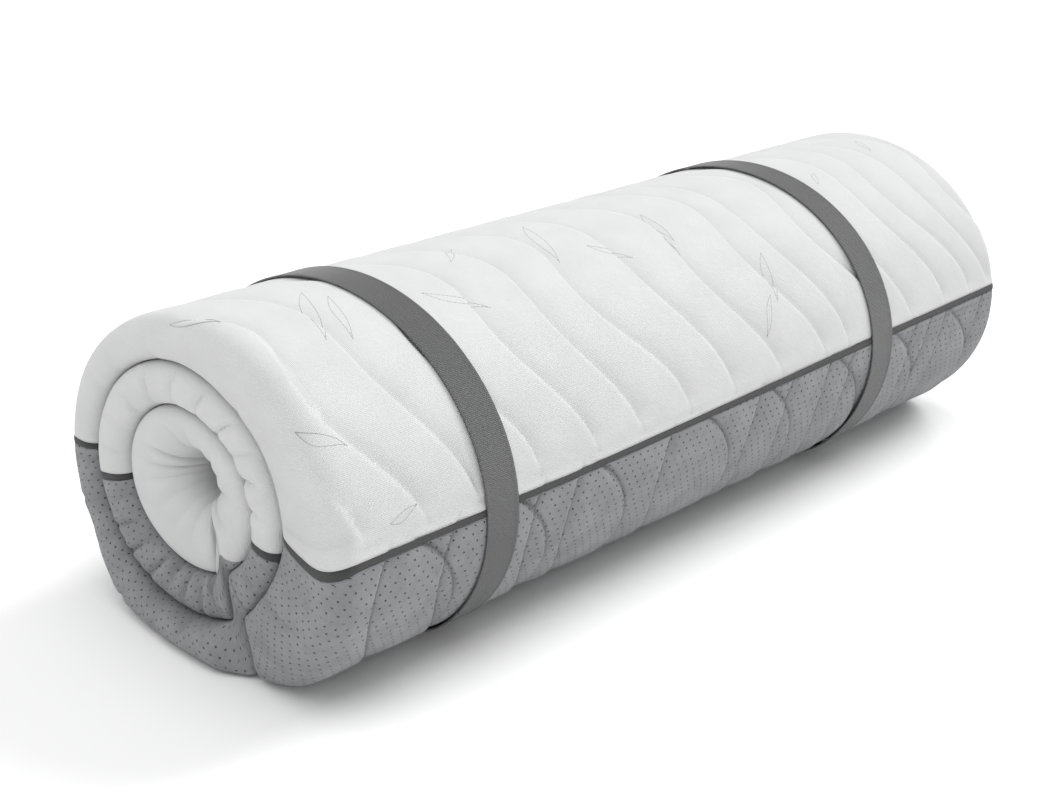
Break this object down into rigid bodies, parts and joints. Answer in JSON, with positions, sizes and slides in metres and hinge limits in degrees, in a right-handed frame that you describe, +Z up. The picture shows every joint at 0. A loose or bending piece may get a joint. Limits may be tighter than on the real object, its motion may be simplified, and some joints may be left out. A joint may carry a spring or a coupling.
{
  "type": "memory foam mattress",
  "caption": "Memory foam mattress rolled up for storage: foam slab in a quilted, zipped cover with white and grey panels and dark binding, held by elastic straps that slide off its ends.",
  "frame": {"origin": "centre of the bounding box on the floor plane that the roll lies on, which is the underside of the two straps", "axes": "+X along the roll from its near end to its far end, +Z up, +Y to the back of the roll"},
  "size_m": [1, 0.3804, 0.3044],
  "materials": {
    "memory_foam": "open-cell foam, matt",
    "support_foam": "open-cell foam, matt",
    "liner": "thin cotton jersey",
    "white_cover": "quilted white knit with a fine rib and sewn leaf outlines",
    "grey_cover": "quilted grey knit with rows of small ventilation holes",
    "binding": "woven dark grey binding tape",
    "zip_tape": "woven tape",
    "zip_chain": "nylon coil",
    "zip_metal": "nickel plated",
    "strap": "woven elastic webbing",
    "thread": "polyester sewing thread"
  },
  "bodies": {
    "roll": {"memory_foam": "memory_foam", "support_foam": "support_foam", "foam_liner": "liner", "cover_tail_grey": "grey_cover", "cover_outer_white": "white_cover", "cover_outer_grey": "grey_cover", "cover_inner_white": "white_cover", "cover_inner_grey": "grey_cover", "cover_core_white": "white_cover", "binding_outer_front": "binding", "binding_outer_back": "binding", "binding_inner_front": "binding", "binding_inner_back": "binding", "zip_tape": "zip_tape", "zip_chain": "zip_chain", "zip_stops": "zip_metal"},
    "near_strap": {"near_strap_webbing": "strap", "near_strap_stitching": "thread"},
    "far_strap": {"far_strap_webbing": "strap", "far_strap_stitching": "thread"},
    "zip_slider": {"zip_slider": "zip_metal"}
  },
  "joints": [
    {"name": "near_strap_slide", "type": "slide", "parent": "roll", "child": "near_strap", "axis": [-1, 0, 0], "range_m": [-0.2, 0.2]},
    {"name": "far_strap_slide", "type": "slide", "parent": "roll", "child": "far_strap", "axis": [1, 0, 0], "range_m": [-0.2, 0.28]},
    {"name": "zip_slide", "type": "slide", "parent": "roll", "child": "zip_slider", "axis": [-1, 0, 0], "range_m": [0, 0.91]}
  ]
}
